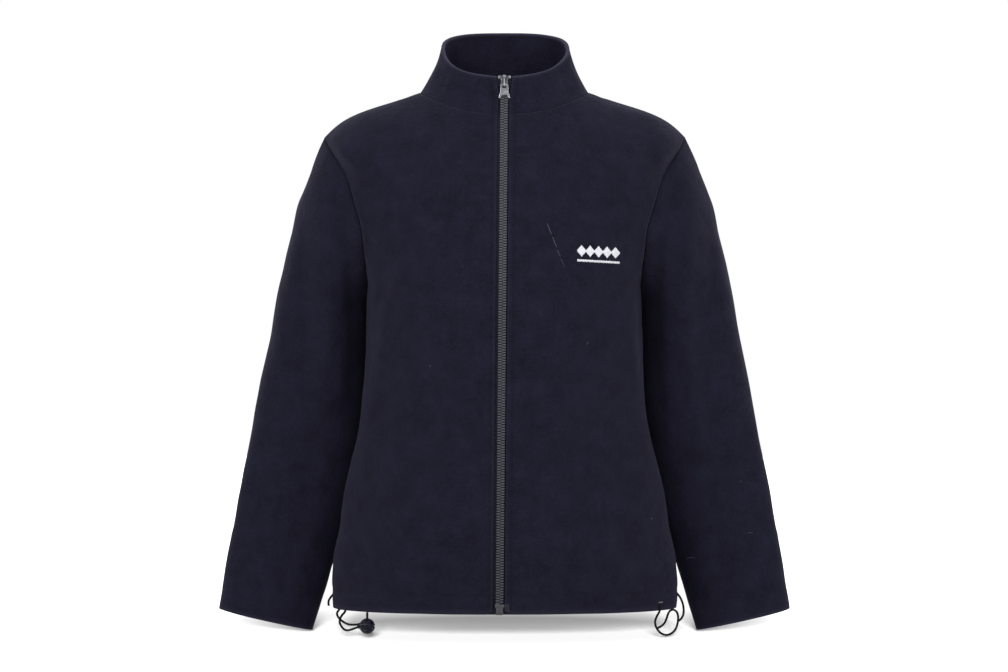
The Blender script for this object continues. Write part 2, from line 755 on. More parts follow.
def mark_rims(shells):
    """Marks each panel's rim points with the kinds of rim they lie on, and makes rims firm."""
    rims = {}
    for name, bm in shells.items():
        for kind in RIM_KINDS:
            bm.verts.layers.float.new(kind)
        firm = bm.edges.layers.float.new("crease_edge")
        pinned = bm.verts.layers.float.new("crease_vert")
        edges = [edge for edge in bm.edges if is_rim(edge)]
        for vert in bm.verts:
            if sum(is_rim(edge) for edge in vert.link_edges) > 2:
                vert[pinned] = 1.0
        for edge in edges:
            edge[firm] = 1.0
        rims[name] = {vert for edge in edges for vert in edge.verts}
    for name, bm in shells.items():
        tree = tree_of([vert.co for other in PANELS if other != name for vert in rims[other]])
        layers = {kind: bm.verts.layers.float[kind] for kind in RIM_KINDS}
        for vert in rims[name]:
            x, _, z = vert.co
            sleeve = name.startswith("sleeve")
            seam = tree.find(vert.co)[2] < SEAM_REACH
            by_zip = not sleeve and name != "back" and abs(x - zip_middle(z)) < ZIP_REACH
            vert[layers["seam"]] = float(seam)
            vert[layers["zip_edge"]] = float(by_zip)
            vert[layers["hem"]] = float(not sleeve and name != "collar" and z < HEM_LINE)
            vert[layers["cuff"]] = float(sleeve and z < CUFF_LINE)
            top = name == "collar" and not seam and (not by_zip or z > RIM_HEIGHT)
            vert[layers["collar_rim"]] = float(top)


def rim_shares(data, kind):
    shares = np.empty(len(data.vertices), dtype=np.float32)
    data.attributes[kind].data.foreach_get("value", shares)
    return shares


def distances(places, targets, reach):
    """Each place's distance from the nearest target, as far as reach, and that target's index."""
    found = np.full(len(places), FAR)
    which = np.full(len(places), -1)
    if len(targets) == 0:
        return found, which
    tree = tree_of(targets)
    low = targets.min(axis=0) - reach
    high = targets.max(axis=0) + reach
    near = np.flatnonzero(np.all((places > low) & (places < high), axis=1))
    for index in near:
        _, target, distance = tree.find(places[index])
        found[index] = distance
        which[index] = target
    return found, which


def outwards(name, places):
    """The direction away from the wearer at each place, the same for both faces of the cloth."""
    x, y, z = places.T
    if name.startswith("sleeve"):
        side = 1.0 if name.endswith("left") else -1.0
        t = np.clip((SLEEVE_TOP_Z - z) / SLEEVE_DROP, 0.0, 1.0)
        middle_x = side * (0.212 + 0.082 * t)
        middle_y = 0.015 + 0.035 * t
        depth = 0.060 - 0.034 * t
        away = np.stack([(x - middle_x) / 0.058**2, (y - middle_y) / depth**2, np.zeros_like(x)], axis=1)
        away[:, 2] = 14.0 * np.clip((z + 0.10) / 0.08, 0.0, 1.0)
    elif name == "collar":
        away = np.stack([x / 0.085**2, (y - 0.01) / 0.065**2, np.full_like(x, 2.5)], axis=1)
    else:
        away = np.stack([x / 0.200**2, y / 0.130**2, np.zeros_like(x)], axis=1)
        away[:, 2] = 7.0 * np.clip((z + 0.19) / 0.17, 0.0, 1.0)
    return away / np.maximum(np.linalg.norm(away, axis=1, keepdims=True), 1e-9)


def bell(value, width, centre=0.0):
    """1 at the centre, fading to either side over about this width."""
    return np.exp(-(((value - centre) / width) ** 2))


def smooth(low, high, value):
    t = np.clip((value - low) / (high - low), 0.0, 1.0)
    return t * t * (3.0 - 2.0 * t)


def crease_heights(name, places, away):
    """How far the creases by hand lift each place."""
    rise = np.zeros(len(places))
    mine = [
        (face, crease) for (panels, face), creases in CREASES.items() if name in panels for crease in creases
    ]
    for face, crease in mine:
        line = smooth_line([(x, 0.0, z) for x, z in crease.route], CREASE_SPACING[0])
        route = even_line(line, CREASE_SPACING[1])[:, [0, 2]]
        reach = CREASE_REACH * max(crease.before, crease.after)
        facing = np.clip(-away[:, 1] if face == "front" else away[:, 1], 0.0, 1.0)
        flat = places[:, [0, 2]]
        inside = np.all((flat > route.min(axis=0) - reach) & (flat < route.max(axis=0) + reach), axis=1)
        near = np.flatnonzero(inside & (facing > FACING_LEAST))
        if len(near) == 0:
            continue
        gaps = flat[near][:, None, :] - route[None, :, :]
        squares = (gaps**2).sum(axis=2)
        nearest = squares.argmin(axis=1)
        last = len(route) - 1
        heading = route[np.minimum(nearest + 1, last)] - route[np.maximum(nearest - 1, 0)]
        heading /= np.maximum(np.linalg.norm(heading, axis=1, keepdims=True), 1e-9)
        offset = gaps[np.arange(len(near)), nearest]
        across = heading[:, 0] * offset[:, 1] - heading[:, 1] * offset[:, 0]
        along = (heading * offset).sum(axis=1)
        past_end = np.where((nearest == 0) | (nearest == last), np.abs(along), 0.0)
        half = np.where(across > 0.0, crease.before, crease.after)
        t = nearest / last
        taper = np.sin(math.pi * (0.06 + 0.88 * t)) ** 0.7
        shape = np.exp(-((across / half) ** 2) - (past_end / CREASE_END) ** 2)
        rise[near] += crease.height * taper * shape * facing[near] ** 0.4
    return rise


def undulation(places, seed, wavelength, count):
    """A soft unevenness between -1 and 1, made of a few waves."""
    chosen = np.random.default_rng(seed)
    total = np.zeros(len(places))
    for _ in range(count):
        heading = chosen.normal(size=3)
        heading *= np.array([1.25, 1.25, 0.65])
        heading /= np.linalg.norm(heading)
        length = wavelength * chosen.uniform(0.7, 1.5)
        total += np.sin(places @ heading * (math.tau / length) + chosen.uniform(0.0, math.tau))
    return total / math.sqrt(count)


def hidden_seam(places):
    """1 where the pile hides a seam, round the neck and over the shoulder tips, fading to 0."""
    x, _, z = places.T
    neck = smooth(-0.050, -0.036, z) * (1.0 - smooth(0.108, 0.122, np.abs(x)))
    tips = smooth(-0.105, -0.070, z) * smooth(0.115, 0.130, np.abs(x))
    return np.maximum(neck, tips)


def fullness(name, places):
    """How far the cloth stands out sideways at the sleeve heads, and leans in at the underarms."""
    x, _, z = places.T
    side = np.where(x > 0.0, 1.0, -1.0)
    head = (1.0 - smooth(-0.028, -0.006, z)) * smooth(-0.168, -0.125, z)
    out = np.where(x > 0.0, 0.0046, 0.0038) * head * smooth(0.130, 0.178, np.abs(x))
    if name.startswith("sleeve"):
        inner = 1.0 - smooth(0.172, 0.186, np.abs(x))
        out = out - 0.0024 * inner * bell(z, 0.026, UNDERARM_Z)
    elif name != "collar":
        low = (1.0 - smooth(-0.566, -0.515, z)) * (1.0 - 0.50 * (1.0 - smooth(-0.622, -0.584, z)))
        out = out + 0.0062 * low * smooth(0.165, 0.200, np.abs(x))
    return side * out


def shape_panel(name, data, look, neighbours):
    """Lays a panel's creases, seams and hems into its subdivided wall."""
    places = places_of(data)
    away = outwards(name, places)
    rims = {kind: places[rim_shares(data, kind) > 0.999] for kind in RIM_KINDS}
    seam, _ = distances(places, rims["seam"], 0.030)
    zip_edge, _ = distances(places, rims["zip_edge"], 0.040)
    hem, _ = distances(places, rims["hem"], 0.040)
    cuff, _ = distances(places, rims["cuff"], 0.030)
    rim, _ = distances(places, rims["collar_rim"], 0.020)
    fade = smooth(0.0, 0.016, seam)
    rise = crease_heights(name, places, away) * look.fold_share * fade
    calm = fade * smooth(0.0, 0.030, zip_edge)
    rise += undulation(places, 7, 0.075, 7) * 0.00085 * calm
    rise += undulation(places, 11, 0.030, 9) * 0.00028 * calm
    shown = 1.0 - hidden_seam(places)
    rise -= look.seam_depth * bell(seam, SEAM_SPREAD) * shown
    ripple = np.sin(places[:, 2] * math.tau / 0.017) + 0.6 * np.sin(places[:, 2] * math.tau / 0.011 + 1.0)
    rise += 0.00032 * ripple * smooth(0.004, 0.010, zip_edge) * (1.0 - smooth(0.016, 0.034, zip_edge)) * fade
    stitch = ZIP_STITCH - ZIP_EDGE
    rise -= 0.0006 * bell(zip_edge, 0.0016, stitch) * fade
    rise += 0.0005 * bell(zip_edge, 0.0030, 0.0035) * fade
    rise -= 0.0007 * bell(hem, 0.0020, HEM_DEPTH)
    rise += 0.0008 * bell(hem, 0.0080, HEM_DEPTH / 2) * fade
    rise -= 0.0005 * bell(rim, 0.0012, 0.0032)
    rise -= 0.0004 * bell(cuff, 0.0016, 0.0050)
    moved = places + away * rise[:, None]
    moved[:, 0] += fullness(name, places)
    if name in ("front_right", "collar"):
        low = 1.0 - smooth(-0.030, 0.004, places[:, 2])
        right = places[:, 0] < zip_middle(places[:, 2])
        moved[:, 0] -= 0.0026 * low * right * (1.0 - smooth(0.0, 0.009, zip_edge))
    if name in ("front_right", "front_left"):
        moved[:, 2] += 0.0036 * (1.0 - smooth(0.0, 0.010, zip_edge)) * (1.0 - smooth(0.0, 0.022, hem))
    on_seam = np.flatnonzero(rim_shares(data, "seam") > 0.999)
    tree = tree_of(neighbours)
    for index in on_seam:
        place, _, distance = tree.find(places[index])
        if distance < CLOSE_REACH:
            moved[index] += (np.array(place) - places[index]) * CLOSE_SHARE
    set_places(data, moved)
    groove = 0.12 * bell(seam, 0.0012) * np.maximum(shown, 0.7)
    groove = np.maximum(groove, 0.40 * bell(zip_edge, 0.0009, stitch))
    groove = np.maximum(groove, 0.40 * bell(hem, 0.0009, HEM_DEPTH))
    lit = 0.55 * bell(rim, 0.0024)
    lit = np.maximum(lit, 0.16 * bell(hem, 0.0045))
    lit = np.maximum(lit, 0.20 * bell(cuff, 0.0030))
    lit = np.maximum(lit, 0.10 * bell(zip_edge, 0.0020))
    if name in ("front_right", "front_left"):
        armhole = 1.0 - smooth(-0.125, -0.085, places[:, 2])
        lit = np.maximum(lit, 0.13 * armhole * bell(seam, 0.0016, 0.0016))
    for kind, values in (("groove", groove), ("lit", lit)):
        layer = data.attributes.new(kind, "FLOAT", "POINT")
        layer.data.foreach_set("value", values.astype(np.float32))


def round_rims(data):
    """Rounds the cut corners of a panel's rims, but not where the pile hides the seam."""
    hidden = (hidden_seam(places_of(data)) > 0.5) & (rim_shares(data, "seam") > 0.5)
    bm = bmesh.new()
    bm.from_mesh(data)
    bm.verts.ensure_lookup_table()
    sharp = {vert for vert in bm.verts if hidden[vert.index]}
    corners = {vert for edge in bm.edges if is_rim(edge) for vert in edge.verts} - sharp
    ring = corners | {other for vert in corners for edge in vert.link_edges for other in edge.verts}
    ring -= sharp
    for _ in range(ROUNDING_PASSES):
        bmesh.ops.smooth_vert(
            bm, verts=list(ring), factor=0.5,
            use_axis_x=True, use_axis_y=True, use_axis_z=True,
        )
    bm.to_mesh(data)
    bm.free()
    data.shade_smooth()
    data.set_sharp_from_angle(angle=math.radians(62))


class JACKET_OT_fleece(bpy.types.Operator):
    """Cuts, creases and hems the six fleece panels"""

    bl_idname = "jacket.fleece"
    bl_label = "Fleece panels"

    def execute(self, context):
        look = context.scene.fleece_look
        finish = fleece_material(look)
        shells = {name: quad_shell(name) for name in PANELS}
        mark_rims(shells)
        meshes = {}
        for name, bm in shells.items():
            holder = linked(name + "_cut", mesh_from(bm, name + "_cut"))
            finer = holder.modifiers.new("smooth", "SUBSURF")
            finer.levels = PANEL_LEVELS
            finer.render_levels = PANEL_LEVELS
            meshes[name] = evaluated_mesh(holder)
            bpy.data.objects.remove(holder, do_unlink=True)
        seams = {}
        for name, data in meshes.items():
            seams[name] = places_of(data)[rim_shares(data, "seam") > 0.999]
        for name, data in meshes.items():
            neighbours = np.concatenate([seams[other] for other in PANELS if other != name])
            shape_panel(name, data, look, neighbours)
            round_rims(data)
            data.name = name + "_fleece"
            panel = add_object(name + "_fleece", data, finish, replaces=[name])
        return {"FINISHED"}


# Stitching

def outer_face(name):
    """A tree of a finished panel's surface."""
    return surface_of(bpy.data.objects[name].data)


def cast_on(tree, origin, heading):
    """Where a straight line first meets a surface, with the surface's normal facing it."""
    place, normal, _, _ = tree.ray_cast(Vector(origin), Vector(heading).normalized())
    if place is None:
        return None
    if normal.dot(Vector(heading)) > 0.0:
        normal.negate()
    return place, normal


def cast_back(tree, x, z):
    """Where a line from in front of the jacket first meets a surface, at this width and height."""
    return cast_on(tree, (x, CAST_FROM, z), (0.0, 1.0, 0.0))


def run_stitches(found, look):
    """Stitches laid end to end along surface places."""
    line = np.array([tuple(place + normal * look.thread * 0.32) for place, normal in found])
    dense = even_line(line, look.pitch)
    share = look.length / look.pitch
    stitches = []
    for a, b in zip(dense, dense[1:]):
        start = a + (b - a) * (0.5 - share / 2.0)
        end = a + (b - a) * (0.5 + share / 2.0)
        stitches.append([start, start * 0.75 + end * 0.25, start * 0.25 + end * 0.75, end])
    return stitches


def zip_stitch_places(side):
    """Places down one side of the zip, from the collar's rim to the hem."""
    front = "front_left_fleece" if side > 0 else "front_right_fleece"
    trees = [outer_face("collar_fleece"), outer_face(front)]
    found = []
    for z in np.arange(0.0190, -0.6170, -0.004):
        hits = []
        for tree in trees:
            hit = cast_back(tree, zip_middle(z) + side * ZIP_STITCH, z)
            if hit:
                hits.append(hit)
        if hits:
            found.append(min(hits, key=lambda hit: hit[0].y))
    return found


def hem_stitch_places(name, start, end, height):
    """Places along the hem of one panel, over a range of headings in degrees."""
    tree = outer_face(name)
    found = []
    for heading in np.arange(start, end, 1.0):
        away = Vector((math.cos(math.radians(heading)), math.sin(math.radians(heading)), 0.0))
        hit = cast_on(tree, Vector((0.0, 0.0, height)) + away * 0.5, -away)
        if hit:
            found.append(hit)
    return found


def collar_stitch_places(drop):
    """Places below the collar's rim, from one end of the zip round the back to the other."""
    data = bpy.data.objects["collar_fleece"].data
    places = places_of(data)[rim_shares(data, "collar_rim") > 0.999]
    tree = outer_face("collar_fleece")
    headings = np.degrees(np.arctan2(places[:, 0], -(places[:, 1] - 0.01)))
    found = []
    for heading in np.arange(-171.0, 171.0, 1.5):
        if abs(heading) < 12.0:
            continue
        near = np.abs(headings - heading) < 3.0
        if not near.any():
            continue
        top = places[near][:, 2].max()
        away = Vector((math.sin(math.radians(heading)), -math.cos(math.radians(heading)), 0.0))
        hit = cast_on(tree, Vector((0.0, 0.01, top - drop)) + away * 0.2, -away)
        if hit:
            found.append((heading % 360.0, hit))
    return [hit for _, hit in sorted(found, key=lambda pair: pair[0])]


class JACKET_OT_stitching(bpy.types.Operator):
    """Sews the topstitching beside the zip, above the hem and below the collar's rim"""

    bl_idname = "jacket.stitching"
    bl_label = "Topstitching"

    def execute(self, context):
        look = context.scene.stitch_look
        finish = thread_material("topstitch_thread", look.colour, 0.8, 0.0, 0.12)
        runs = {
            "zip_stitches": [zip_stitch_places(-1), zip_stitch_places(1)],
            "hem_stitches": [
                hem_stitch_places("front_right_fleece", 182.0, 266.0, HEM_STITCH_FRONT_Z),
                hem_stitch_places("front_left_fleece", 276.0, 358.0, HEM_STITCH_FRONT_Z),
                hem_stitch_places("back_fleece", 4.0, 178.0, HEM_STITCH_BACK_Z),
            ],
            "collar_stitches": [collar_stitch_places(COLLAR_STITCH_DROP)],
        }
        for name, lines in runs.items():
            stitches = []
            for found in lines:
                if len(found) < FEWEST_PLACES:
                    raise RuntimeError(f"{name}: the stitching line misses its panel")
                stitches += run_stitches(found, look)
            data = thread_mesh(name, stitches, look.thread / 2)
            add_object(name, data, finish)
        return {"FINISHED"}


# Zip

def zip_face():
    """The face that the teeth lie on, down the zip: height, depth and slope."""
    tree = surface_of(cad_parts["zip_tape_left"].data)
    rail = []
    for z in np.arange(0.0210, -0.6190, -0.002):
        hit = cast_back(tree, zip_middle(z) + 0.0025, z)
        if hit:
            rail.append((z, hit[0].y - TAPE_DEPTH, hit[1].z / -hit[1].y))
    return np.array(rail)


def rail_at(rail, z):
    """Depth of the zip's face at a height, and the tilt about X that lies along it."""
    order = rail[::-1]
    return float(np.interp(z, order[:, 0], order[:, 1])), float(np.interp(z, order[:, 0], order[:, 2]))


def rounded_block(bm, size, centre, edge, turn=None, segments=1):
    """Adds a block with rounded edges to a mesh."""
    made = bmesh.ops.create_cube(bm, size=1.0)["verts"]
    bmesh.ops.scale(bm, vec=size, verts=made)
    edges = list({found for vert in made for found in vert.link_edges})
    result = bmesh.ops.bevel(
        bm, geom=edges, offset=edge, segments=segments, profile=0.5, affect="EDGES", material=-1,
    )
    verts = list({vert for face in result["faces"] for vert in face.verts})
    if turn:
        bmesh.ops.rotate(bm, verts=verts, matrix=turn)
    bmesh.ops.translate(bm, verts=verts, vec=centre)
    return verts


def make_teeth(name, side, look, rail, finish):
    """One side's teeth, each a moulded block whose head reaches past the zip's middle."""
    bm = bmesh.new()
    start = TEETH_TOP if side < 0 else TEETH_TOP - look.pitch / 2
    for z in np.arange(start, TEETH_FOOT, -look.pitch):
        y, slope = rail_at(rail, z)
        turn = Matrix.Rotation(math.atan(slope), 3, "X")
        middle = zip_middle(z) + side * TOOTH_MIDDLE
        rounded_block(bm, TOOTH_SIZE, (middle, y + TOOTH_RISE, z), TOOTH_EDGE, turn)
    data = smooth_mesh(bm, name, 40)
    cad_name = "zip_teeth_right" if side < 0 else "zip_teeth_left"
    return add_object(name, data, finish, replaces=[cad_name])


def make_box(rail, finish, dark):
    """The box at the zip's foot: a cross piece over a narrower, rounded end with a hole in it."""
    low, high = (Vector(corner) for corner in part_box("zip_box"))
    foot = low.z
    y, slope = rail_at(rail, TEETH_FOOT)
    turn = Matrix.Rotation(math.atan(slope), 3, "X")
    middle = zip_middle(foot + 0.007)
    bm = bmesh.new()
    rounded_block(bm, (0.0112, 0.0032, 0.0042), (middle, y + 0.0006, foot + 0.0112), 0.0007, turn, 2)
    rounded_block(bm, (0.0088, 0.0028, 0.0100), (middle, y + 0.0008, foot + 0.0054), 0.0011, turn, 3)
    rounded_block(bm, (0.0066, 0.0034, 0.0016), (middle, y + 0.0005, foot + 0.0072), 0.0005, turn, 2)
    data = smooth_mesh(bm, "zip_foot_box", 40)
    add_object("zip_foot_box", data, finish, replaces=["zip_box"])
    bm = bmesh.new()
    place = Matrix.Translation((middle, y - 0.0001, foot + 0.0032))
    bmesh.ops.create_cone(
        bm, cap_ends=True, segments=24, radius1=0.0012, radius2=0.0012, depth=0.0012,
        matrix=place @ Matrix.Rotation(math.radians(90), 4, "X"),
    )
    data = smooth_mesh(bm, "zip_foot_hole", 40)
    add_object("zip_foot_hole", data, dark)


def make_tape(name, cad_name, finish):
    """A zip tape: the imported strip, welded, rounded and finished."""
    bm = quad_shell(cad_name)
    for edge in bm.edges:
        edge.smooth = True
    firm = bm.edges.layers.float.new("crease_edge")
    for edge in bm.edges:
        if is_rim(edge):
            edge[firm] = 1.0
    made = add_object(name, smooth_mesh(bm, name), finish, replaces=[cad_name])
    finer = made.modifiers.new("smooth", "SUBSURF")
    finer.levels = TAPE_LEVELS
    finer.render_levels = TAPE_LEVELS


def bar_tack(centre, width, height, columns, tree, radius):
    """Threads side by side that fasten the cloth beside the zip's foot."""
    lines = []
    for column in range(columns):
        x = centre[0] + width * (column / (columns - 1) - 0.5)
        line = []
        for step in range(7):
            z = centre[1] + height * (0.5 - step / 6)
            hit = cast_back(tree, x, z)
            if hit:
                sink = radius * (0.5 - (0.9 if step in (0, 6) else 0.0))
                line.append(hit[0] + hit[1] * sink)
        lines.append(line)
    return lines


def tape_beads(rail):
    """The thick inner edge of each tape, which the teeth are moulded on."""
    lines = []
    for side in (-1, 1):
        line = []
        for z in np.arange(0.0200, TEETH_FOOT - 0.004, -0.006):
            y, _ = rail_at(rail, z)
            line.append((zip_middle(z) + side * 0.0011, y + 0.0019, z))
        lines.append(line)
    return thread_mesh("zip_tape_beads", lines, 0.0012, 2, 1.0)


def cut_plate(bm, outline, front, back, edge):
    """Adds a flat plate with this (x, z) outline between two depths, with its rims rounded."""
    face = bm.faces.new([bm.verts.new((x, front, z)) for x, z in outline])
    grown = bmesh.ops.extrude_face_region(bm, geom=[face])["geom"]
    moved = [item for item in grown if isinstance(item, bmesh.types.BMVert)]
    bmesh.ops.translate(bm, vec=(0.0, back - front, 0.0), verts=moved)
    corners = moved + list(face.verts)
    faces = list({found for vert in corners for found in vert.link_faces})
    bmesh.ops.recalc_face_normals(bm, faces=faces)
    edges = list({found for vert in corners for found in vert.link_edges})
    bmesh.ops.bevel(
        bm, geom=edges, offset=edge, offset_type="OFFSET", segments=2, profile=0.5,
        affect="EDGES", material=-1,
    )


def by_pin(bm):
    """Turns and moves a mesh modelled round the pull's pin to its place on the zip."""
    bmesh.ops.rotate(bm, verts=bm.verts, matrix=Matrix.Rotation(PIN_TILT, 3, "X"))
    bmesh.ops.translate(bm, verts=bm.verts, vec=PIN)


def both_sides(half):
    """A closed outline from its right half, listed from the foot up."""
    return half + [(-x, z) for x, z in reversed(half)]


def make_slider(metal, dulled):
    """The slider: a shouldered body, the bridge over the pin, and the pull on it."""
    bm = bmesh.new()
    body = both_sides([
        (0.0032, -0.0030), (0.0040, -0.0022), (0.0040, 0.0052),
        (0.0046, 0.0078), (0.0046, 0.0108), (0.0034, 0.0124),
    ])
    cut_plate(bm, body, 0.0010, 0.0024, 0.00045)
    cut_plate(bm, body, 0.0068, 0.0080, 0.00035)
    rounded_block(bm, (0.0022, 0.0060, 0.0052), (0.0, 0.0046, 0.0092), 0.0004)
    by_pin(bm)
    data = smooth_mesh(bm, "slider_body", 35)
    add_object("slider_body", data, dulled, replaces=["zip_slider"])
    arch = [
        (0.0, 0.0016, -0.0018), (0.0, 0.0000, -0.0022), (0.0, -0.0014, -0.0012), (0.0, -0.0018, 0.0006),
        (0.0, -0.0017, 0.0040), (0.0, -0.0013, 0.0078), (0.0, -0.0002, 0.0106), (0.0, 0.0016, 0.0118),
    ]
    data = thread_mesh("slider_bridge", [smooth_line(arch, 0.0004)], 0.00098, 4, 1.0)
    bm = bmesh.new()
    bm.from_mesh(data)
    bmesh.ops.scale(bm, vec=(1.25, 1.0, 1.0), verts=bm.verts)
    bmesh.ops.create_uvsphere(
        bm, u_segments=20, v_segments=12, radius=0.0030,
        matrix=Matrix.Translation((0.0, 0.0022, 0.0112)) @ Matrix.Diagonal((1.0, 0.55, 0.55, 1.0)),
    )
    by_pin(bm)
    bm.to_mesh(data)
    bm.free()
    data.shade_smooth()
    add_object("slider_bridge", data, metal)
    bm = bmesh.new()
    arms = both_sides([
        (0.0031, -0.0134), (0.0047, -0.0166), (0.0059, -0.0176), (0.0070, -0.0164), (0.0050, -0.0092),
        (0.0048, 0.0002), (0.0042, 0.0010), (0.0030, 0.0010), (0.0024, 0.0002), (0.0024, -0.0042),
    ])
    cut_plate(bm, arms, -0.0008, 0.0006, 0.00040)
    bmesh.ops.create_cone(
        bm, cap_ends=True, segments=16, radius1=0.00075, radius2=0.00075, depth=0.0062,
        matrix=Matrix.Rotation(math.radians(90), 4, "Y"),
    )
    by_pin(bm)
    data = smooth_mesh(bm, "pull_tab", 35)
    add_object("pull_tab", data, metal, body="pull", replaces=["zip_pull"])


def make_stops(rail, metal):
    """The two top stops, clamped on the tapes beside the slider."""
    for name, side in (("right", -1), ("left", 1)):
        z = 0.0205
        y, slope = rail_at(rail, z)
        bm = bmesh.new()
        place = (zip_middle(z) + side * 0.0062, y - 0.0002, z)
        turn = Matrix.Rotation(math.atan(slope), 3, "X")
        rounded_block(bm, (0.0030, 0.0021, 0.0034), place, 0.0007, turn, 2)
        data = smooth_mesh(bm, "top_stop_" + name, 40)
        add_object("top_stop_" + name, data, metal, replaces=["zip_stop_" + name])


class JACKET_OT_zip(bpy.types.Operator):
    """Builds the teeth, tapes and box of the zip, and finishes its metal"""

    bl_idname = "jacket.zip"
    bl_label = "Zip"

    def execute(self, context):
        look = context.scene.zip_look
        plastic = teeth_material(look)
        woven = tape_material(look)
        metal = metal_material("zip_metal_plated", look.metal)
        rail = zip_face()
        make_teeth("zip_teeth_row_right", -1, look, rail, plastic)
        make_teeth("zip_teeth_row_left", 1, look, rail, plastic)
        dark = shadow_material("zip_foot_shadow", 0.0024, 0.7)
        make_box(rail, plastic, dark)
        make_tape("zip_tape_weave_right", "zip_tape_right", woven)
        make_tape("zip_tape_weave_left", "zip_tape_left", woven)
        add_object("zip_tape_beads", tape_beads(rail), woven)
        dulled = metal_material("zip_metal_dulled", [0.28 * part for part in look.metal[:3]] + [1.0])
        make_slider(metal, dulled)
        make_stops(rail, metal)
        tree = outer_face("front_left_fleece")
        lines = bar_tack((zip_middle(-0.61) + 0.0088, -0.6125), 0.0040, 0.0095, 3, tree, 0.0004)
        thread = thread_material("bar_tack_thread", (0.014, 0.014, 0.022, 1.0))
        add_object("zip_foot_tack", thread_mesh("zip_foot_tack", lines, 0.0004), thread)
        return {"FINISHED"}


# Cords and lock

class JACKET_OT_cords(bpy.types.Operator):
    """Lays the elastic hem cord's free stretches"""

    bl_idname = "jacket.cords"
    bl_label = "Hem cord"

    def execute(self, context):
        finish = cord_material(context.scene.cord_look)
        for name, route, far_end in (
            ("hem_cord_side_strand", SIDE_STRAND, "object"),
            ("hem_cord_front_strand", FRONT_STRAND, "object"),
            ("hem_cord_tail", TAIL_STRAND, "bare"),
            ("hem_cord_front_loop", FRONT_LOOP, "bare"),
            ("hem_cord_side_loop", SIDE_LOOP, "object"),
        ):
            line = smooth_line(route, CORD_SPACING)
            curve = round_curve(name + "_braid", [line], CORD_DIAMETER / 2, 4)
            curve.splines[0].use_smooth = True
            made = add_object(name + "_braid", curve, finish, replaces=[name])
        return {"FINISHED"}


def spun(name, profile, place, turn=None, steps=36):
    """A closed solid turned about its axis from a profile of (radius, height)."""
    bm = bmesh.new()
    line = [bm.verts.new((radius, 0.0, height)) for radius, height in profile]
    edges = [bm.edges.new(pair) for pair in zip(line, line[1:])]
    bmesh.ops.spin(
        bm, geom=line + edges, cent=(0.0, 0.0, 0.0), axis=(0.0, 0.0, 1.0), angle=math.tau,
        steps=steps, use_merge=True,
    )
    bmesh.ops.remove_doubles(bm, verts=bm.verts, dist=0.000005)
    bmesh.ops.recalc_face_normals(bm, faces=bm.faces)
    if turn:
        bmesh.ops.rotate(bm, verts=bm.verts, matrix=turn)
    bmesh.ops.translate(bm, verts=bm.verts, vec=place)
    return smooth_mesh(bm, name)


class JACKET_OT_lock(bpy.types.Operator):
    """Builds the ball lock on the hem cord, with its nub and the tie that holds it"""

    bl_idname = "jacket.lock"
    bl_label = "Cord lock"

    def execute(self, context):
        look = context.scene.cord_look
        plastic = toggle_material(look)
        cord = cord_material(look)
        profile = []
        for step in range(41):
            angle = math.pi * step / 40
            radius = BALL_RADIUS * math.sin(angle)
            height = BALL_RADIUS * math.cos(angle)
            radius -= 0.0006 * math.exp(-((height / 0.0007) ** 2))
            radius += 0.00018 * math.exp(-(((abs(height) - 0.0017) / 0.0005) ** 2))
            profile.append((0.0 if step in (0, 40) else radius, height))
        ball = spun("lock_ball", profile, BALL_CENTRE)
        add_object("lock_ball", ball, plastic, replaces=["toggle_ball"])
        reach = BALL_RADIUS + 0.0030
        nub_profile = [
            (0.0, reach - 0.0009), (0.0019, reach - 0.0009), (0.0021, reach - 0.0003), (0.0026, reach),
            (0.0032, reach - 0.0002), (0.0036, reach - 0.0008), (0.0036, reach - 0.0022),
            (0.0033, reach - 0.0027), (0.0033, BALL_RADIUS - 0.0006), (0.0, BALL_RADIUS - 0.0006),
        ]
        turn = Matrix.Rotation(-BALL_TURN, 3, "Z") @ Matrix.Rotation(math.radians(-90), 3, "Y")
        nub = spun("lock_nub", nub_profile, BALL_CENTRE, turn, 28)
        nub.set_sharp_from_angle(angle=math.radians(50))
        add_object("lock_nub", nub, plastic, replaces=["toggle_nub"])
        foot = BALL_CENTRE.z + BALL_RADIUS - 0.0004
        coil = []
        for step in range(TIE_STEPS + 1):
            t = step / TIE_STEPS
            angle = math.tau * TIE_TURNS * t
            x = BALL_CENTRE.x + TIE_RADIUS * math.cos(angle)
            y = BALL_CENTRE.y + TIE_RADIUS * math.sin(angle)
            coil.append((x, y, foot + (TIE_TOP - foot) * t))
        core = [(BALL_CENTRE.x, BALL_CENTRE.y, foot), (BALL_CENTRE.x, BALL_CENTRE.y, TIE_TOP)]
        data = thread_mesh("lock_tie", [coil, core], 0.00062, 2, 0.8)
        add_object("lock_tie", data, cord, replaces=["toggle_tie"])
        return {"FINISHED"}


# Embroidery and marks

def satin(columns, tree, radius, lift):
    """Threads side by side, each from its top to its foot over the cloth."""
    lines = []
    for x, top, foot in columns:
        line = []
        steps = max(3, round((top - foot) / 0.0012))
        for step in range(steps + 1):
            t = step / steps
            hit = cast_back(tree, x, top + (foot - top) * t)
            arch = lift * math.sin(math.pi * t) ** 0.5
            line.append(hit[0] + hit[1] * (arch - radius * 0.4))
        lines.append(line)
    return lines


